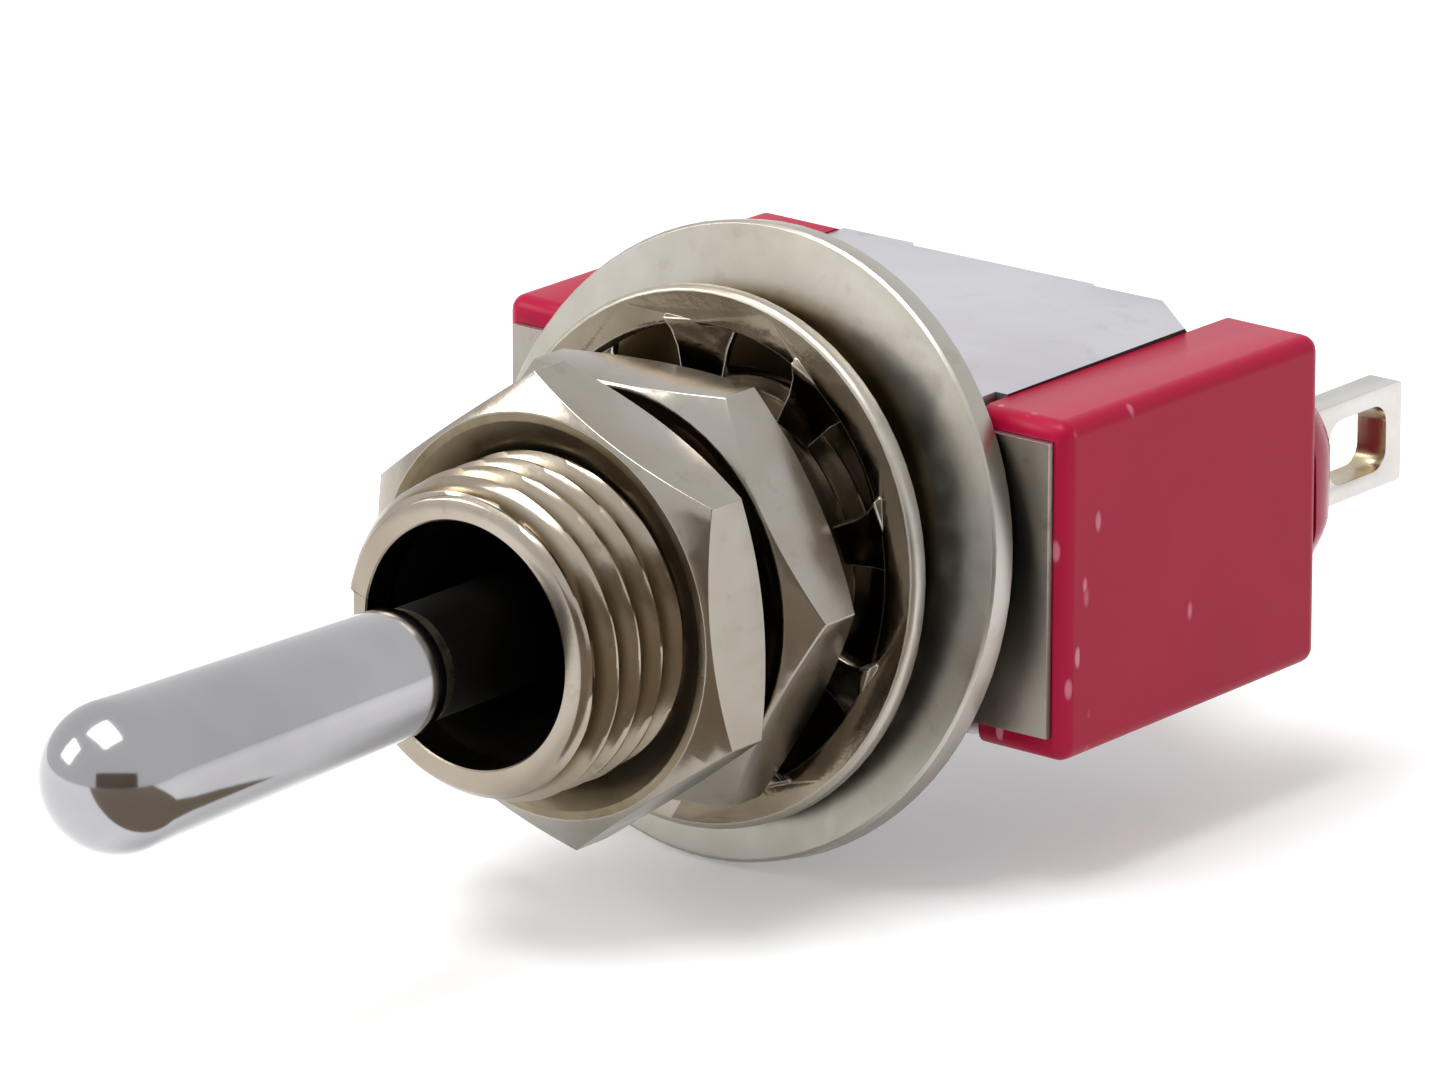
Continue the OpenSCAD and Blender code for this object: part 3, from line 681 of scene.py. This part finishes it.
for nut in ("front_nut", "rear_nut"):
    softEdged(nut, [nickelFlat, nutSinkShade, nutGapShade], nutSet["edge"], nutSet["angle"], nutSide)
softEdged("locating_washer", [nickelStamped, washerFrontShaded], washerSet["edge"], pick=washerSide)
softEdged("lock_washer", [springWasher, toothFaceShade, toothEdgeHighlight], toothSet["edge"], pick=toothSide)
softEdged("bracket", [bareSheet, frontSheetShade, cutSheet], sheetSet["edge"], pick=sheetSide)
for lug in ("left_terminal", "centre_terminal", "right_terminal"):
    softEdged(lug, [silverLug, eyeWall], lugSet["edge"], pick=lugSide, joinFlats=False)
print("hardware made")


# moulded housing: a rounded block with grooves for the plates and pockets for the ears and feet

housingSet = {"x": 6.73, "frontX": 6.68, "frontY": 0.15, "backY": 8.17, "frontZ": 3.3, "backZ": 3.25,
              "round": 0.32, "lean": 0.65, "edge": 0.05, "plateX": 4.695, "coreZ": 2.81, "earX": 6.39,
              "earZ": 2.87, "earY": 0.46, "cavityX": 5.5, "cavityZ": 2.1, "cavityY": 4.2, "floorY": 4.65,
              "footX": 4.2, "footHalf": 1.3, "footGap": 0.01, "pitch": 5.08, "slotX": 0.355, "slotZ": 1.01,
              "lap": 0.5, "ahead": -1, "behind": 10, "outZ": 5, "crimpAt": (3.2, 7.85, 3.28),
              "crimpTurn": -41.2, "crimpBend": -55, "crimpLow": (-1.5, -0.6, -0.48),
              "crimpHigh": (2.97, 3, 3), "keepLow": (0, 5, 1), "keepGap": 0.004}


def crimpCutter(s, turn):
    corner = turn @ Matrix.Translation(Vector(s["crimpAt"]) * mm)
    corner = corner @ Matrix.Rotation(math.radians(s["crimpTurn"]), 4, "Z")
    corner = corner @ Matrix.Rotation(math.radians(s["crimpBend"]), 4, "X")
    crimp = boxObject("crimpCut", s["crimpLow"], s["crimpHigh"], corner)
    keepHigh = (s["plateX"] - s["keepGap"], s["behind"], s["outZ"])
    cutWith(crimp, [boxObject("crimpKeep", s["keepLow"], keepHigh, turn)], "INTERSECT")
    return crimp


def slotCutter(s, x):
    low = (x - s["slotX"], s["cavityY"] - s["lap"], -s["slotZ"])
    return boxObject("lugSlot", low, (x + s["slotX"], s["behind"], s["slotZ"]))


def makeHousing(s):
    obj = boxObject("mouldedHousing", (-1, 0, -1), (1, 1, 1))
    for v in obj.data.vertices:
        atBack = v.co.y > 0
        x, z = (s["x"], s["backZ"]) if atBack else (s["frontX"], s["frontZ"])
        x = math.copysign(x, v.co.x)
        # the moulding sits a little askew in its crimped bracket
        z = math.copysign(z, v.co.z) - x * math.tan(math.radians(s["lean"]))
        v.co = Vector((x, s["backY"] if atBack else s["frontY"], z)) * mm
    addBevel(obj, s["round"], segments=6, angle=30)
    bakeModifiers(obj)
    cutters = []
    for side in (-1, 1):
        grooveLow, grooveHigh = sorted((side * s["coreZ"], side * s["outZ"]))
        cutters.append(boxObject("plateGroove", (-s["plateX"], s["ahead"], grooveLow),
                                 (s["plateX"], s["behind"], grooveHigh)))
        cutters.append(slotCutter(s, side * s["pitch"]))
        footZ = s["cavityZ"] - s["footGap"]
        cutters.append(boxObject("footPocket",
                                 (side * s["footX"] - s["footHalf"], s["cavityY"] - s["lap"], -footZ),
                                 (side * s["footX"] + s["footHalf"], s["floorY"], footZ)))
        cutters.append(crimpCutter(s, Matrix.Rotation(math.pi if side < 0 else 0, 4, "Y")))
    cutters.append(slotCutter(s, 0))
    cutters.append(boxObject("earPocket", (-s["earX"], s["ahead"], -s["earZ"]),
                             (s["earX"], s["earY"], s["earZ"])))
    cutters.append(boxObject("cavity", (-s["cavityX"], s["ahead"], -s["cavityZ"]),
                             (s["cavityX"], s["cavityY"], s["cavityZ"])))
    cutWith(obj, cutters)
    addBevel(obj, s["edge"], segments=2, angle=40)
    bakeModifiers(obj)
    dropSlivers(obj.data)
    obj.data.materials.clear()
    obj.data.materials.append(redMoulding)
    dress(obj, "switch_body", "housing")


makeHousing(housingSet)
print("housing made")


# resin drawn up round each lug, one low mound a lug

sealSet = {"r": 1.58, "spread": 0.5, "middle": 0.01, "y": 8.07, "face": 8.17, "pitch": 5.08, "ripple": 0.03,
           "waveX": 3, "waveZ": 2, "crossZ": 2.3, "crossY": 1.7, "columns": 48, "rings": 32}


def makeSeal(name, replaced, x, s):
    bm = bmesh.new()
    bmesh.ops.create_uvsphere(bm, u_segments=s["columns"], v_segments=s["rings"], radius=s["r"])
    for v in bm.verts:
        wave = s["ripple"] * math.sin(s["waveX"] * v.co.x + s["waveZ"] * v.co.z + x)
        wave = 1 + wave * math.cos(s["crossZ"] * v.co.z - s["crossY"] * v.co.y)
        away = math.copysign(s["spread"], v.co.z) if abs(v.co.z) > s["middle"] else 0
        v.co = Vector((v.co.x * wave, v.co.y * wave, v.co.z + away))
        v.co = Vector((v.co.x + x, v.co.y + s["y"], v.co.z)) * mm
    whole = bm.verts[:] + bm.edges[:] + bm.faces[:]
    foot = Vector((0, s["face"] * mm, 0))
    cut = bmesh.ops.bisect_plane(bm, geom=whole, plane_co=foot, plane_no=Vector((0, -1, 0)), clear_outer=True)
    edges = [e for e in cut["geom_cut"] if isinstance(e, bmesh.types.BMEdge)]
    bmesh.ops.holes_fill(bm, edges=edges, sides=0)
    bmesh.ops.recalc_face_normals(bm, faces=bm.faces)
    obj = newObject(name, toMesh(name, bm), [redResin])
    dress(obj, "switch_body", replaced)
    smooth(obj.data, angle=50)


for side, x in (("left", -sealSet["pitch"]), ("centre", 0), ("right", sealSet["pitch"])):
    makeSeal(side + "Seal", side + "_terminal_seal", x, sealSet)
print("seals made")


# plunger spring, a round wire along a helix

springSet = {"turns": 5.0, "coilRadius": 0.44 * mm, "wireRadius": 0.08 * mm, "startY": -3.0 * mm,
             "endY": -0.7 * mm}


def springTree(mat, stepsPerTurn=28, wireSides=12):
    tree = bpy.data.node_groups.new("coiledSpring", "GeometryNodeTree")
    tree.interface.new_socket("Geometry", in_out="OUTPUT", socket_type="NodeSocketGeometry")
    for key in ("turns", "coilRadius", "wireRadius", "startY", "endY"):
        tree.interface.new_socket(key, in_out="INPUT", socket_type="NodeSocketFloat")
    given = tree.nodes.new("NodeGroupInput").outputs
    result = tree.nodes.new("NodeGroupOutput")
    height = mathNode(tree, "SUBTRACT", given["endY"], given["startY"])
    spiral = node(tree, "GeometryNodeCurveSpiral", {
        "Resolution": stepsPerTurn, "Rotations": given["turns"], "Start Radius": given["coilRadius"],
        "End Radius": given["coilRadius"], "Height": height}).outputs[0]
    turn = {"Geometry": spiral, "Rotation": (-math.pi / 2, 0, 0)}
    upright = node(tree, "GeometryNodeTransform", turn).outputs[0]
    offset = node(tree, "ShaderNodeCombineXYZ", {"Y": given["startY"]}).outputs[0]
    placed = node(tree, "GeometryNodeTransform", {"Geometry": upright, "Translation": offset}).outputs[0]
    circle = {"Resolution": wireSides, "Radius": given["wireRadius"]}
    wire = node(tree, "GeometryNodeCurvePrimitiveCircle", circle).outputs[0]
    sweep = {"Curve": placed, "Profile Curve": wire, "Fill Caps": True}
    swept = node(tree, "GeometryNodeCurveToMesh", sweep).outputs[0]
    shaded = node(tree, "GeometryNodeSetShadeSmooth", {"Geometry": swept}).outputs[0]
    real = node(tree, "GeometryNodeRealizeInstances", {"Geometry": shaded}).outputs[0]
    dressed = node(tree, "GeometryNodeSetMaterial", {"Geometry": real, "Material": mat}).outputs[0]
    tree.links.new(dressed, result.inputs[0])
    return tree


def fromTree(name, tree, values, body, replaced):
    obj = newObject(name, bpy.data.meshes.new(name))
    mod = obj.modifiers.new(name, "NODES")
    mod.node_group = tree
    for item in tree.interface.items_tree:
        if item.in_out == "INPUT" and item.name in values:
            mod[item.identifier] = values[item.name]
    bakeModifiers(obj)
    return dress(obj, body, replaced)


spring = fromTree("coiledSpring", springTree(brightSteel), springSet, "lever", "plunger_spring")
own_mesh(spring)
print("spring made")


# inner pieces keep their solids

innerFinish = {"pivot_pin": brightSteel, "left_contact_tip": contactSilver,
               "right_contact_tip": contactSilver, "rocker_contact": springBronze,
               "rocker_button_left": contactSilver, "rocker_button_right": contactSilver,
               "plunger": paleNylon}
for name, mat in innerFinish.items():
    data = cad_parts[name].data
    data.materials.clear()
    data.materials.append(mat)
print("inner pieces finished")


# room: pale floor, white surroundings, soft lamps and two dark cards for the metal to mirror

roomSet = {"floorTint": 0.86, "floorLift": 0.22, "floorSize": (4, 4), "floorGap": 0.00002,
           "worldLight": 0.62, "worldSeen": 1.0, "cardTint": (0.2, 0.155, 0.11)}
cardSet = {"frontCard": {"centre": (0.34, -0.42, 0.07), "size": (0.62, 0.28), "facing": (-0.34, 0.42, -0.07)},
           "lowCard": {"centre": (0.153, -0.16, cadLow.z + 0.0003), "size": (0.3, 0.3), "facing": (0, 0, 1)}}
lampSet = {"topLamp": {"place": (-0.05, -0.12, 0.4), "size": (0.3, 0.2), "power": 1.6, "tint": (1, 1, 1)},
           "leftLamp": {"place": (-0.35, -0.3, 0.25), "size": (0.2, 0.2), "power": 0.9,
                        "tint": (1, 0.98, 0.95)}}


def seenRays(tree):
    # 1 along rays the camera follows, straight, mirrored or through
    path = node(tree, "ShaderNodeLightPath").outputs
    seen = mathNode(tree, "MAXIMUM", path["Is Camera Ray"], path["Is Glossy Ray"])
    return mathNode(tree, "MAXIMUM", seen, path["Is Transmission Ray"])


def card(name, centre, size, facing, mat, seen=False):
    bm = bmesh.new()
    bmesh.ops.create_grid(bm, x_segments=1, y_segments=1, size=0.5)
    obj = newObject(name, toMesh(name, bm), [mat])
    obj.scale = (*size, 1)
    obj.rotation_euler = Vector(facing).to_track_quat("Z", "Y").to_euler()
    obj.location = centre
    if not seen:
        obj.visible_camera = obj.visible_diffuse = obj.visible_shadow = False
    return obj


def makeFloor(s):
    mat = bpy.data.materials.new("paleFloor")
    mat.use_nodes = True
    tree = mat.node_tree
    tree.nodes.clear()
    out = tree.nodes.new("ShaderNodeOutputMaterial")
    matte = node(tree, "ShaderNodeBsdfDiffuse", {"Color": (*grey(s["floorTint"]), 1)}).outputs[0]
    lift = mathNode(tree, "MULTIPLY", seenRays(tree), s["floorLift"])
    glow = node(tree, "ShaderNodeEmission", {"Color": (1, 1, 1, 1), "Strength": lift}).outputs[0]
    both = node(tree, "ShaderNodeAddShader", {0: matte, 1: glow})
    tree.links.new(both.outputs[0], out.inputs[0])
    card("floor", (0, 0, cadLow.z - s["floorGap"]), s["floorSize"], (0, 0, 1), mat, seen=True)


def makeWorld(s):
    world = bpy.data.worlds.new("studio")
    bpy.context.scene.world = world
    world.use_nodes = True
    tree = world.node_tree
    tree.nodes.clear()
    out = tree.nodes.new("ShaderNodeOutputWorld")
    level = ranged(tree, seenRays(tree), (0.0, 1.0), (s["worldLight"], s["worldSeen"]))
    back = node(tree, "ShaderNodeBackground", {"Color": (1, 1, 1, 1), "Strength": level})
    tree.links.new(back.outputs[0], out.inputs[0])


def darkCard(name, colour, roughness=0.9):
    mat = bpy.data.materials.new(name)
    mat.use_nodes = True
    surface = mat.node_tree.nodes["Principled BSDF"].inputs
    surface["Base Color"].default_value = (*colour, 1)
    surface["Roughness"].default_value = roughness
    return mat


def softLamp(name, place, size, power, tint):
    data = bpy.data.lights.new(name, "AREA")
    data.shape = "RECTANGLE"
    data.size, data.size_y = size
    data.energy = power
    data.color = tint
    obj = bpy.data.objects.new(name, data)
    bpy.context.collection.objects.link(obj)
    obj.location = place
    obj.rotation_euler = Vector(place).to_track_quat("Z", "Y").to_euler()
    obj.visible_camera = False


makeFloor(roomSet)
makeWorld(roomSet)
brownCard = darkCard("brownCard", roomSet["cardTint"])
for name, s in cardSet.items():
    card(name, s["centre"], s["size"], s["facing"], brownCard)
for name, s in lampSet.items():
    softLamp(name, s["place"], s["size"], s["power"], s["tint"])
print("room made")


# view transform

bpy.context.scene.view_settings.view_transform = "Standard"
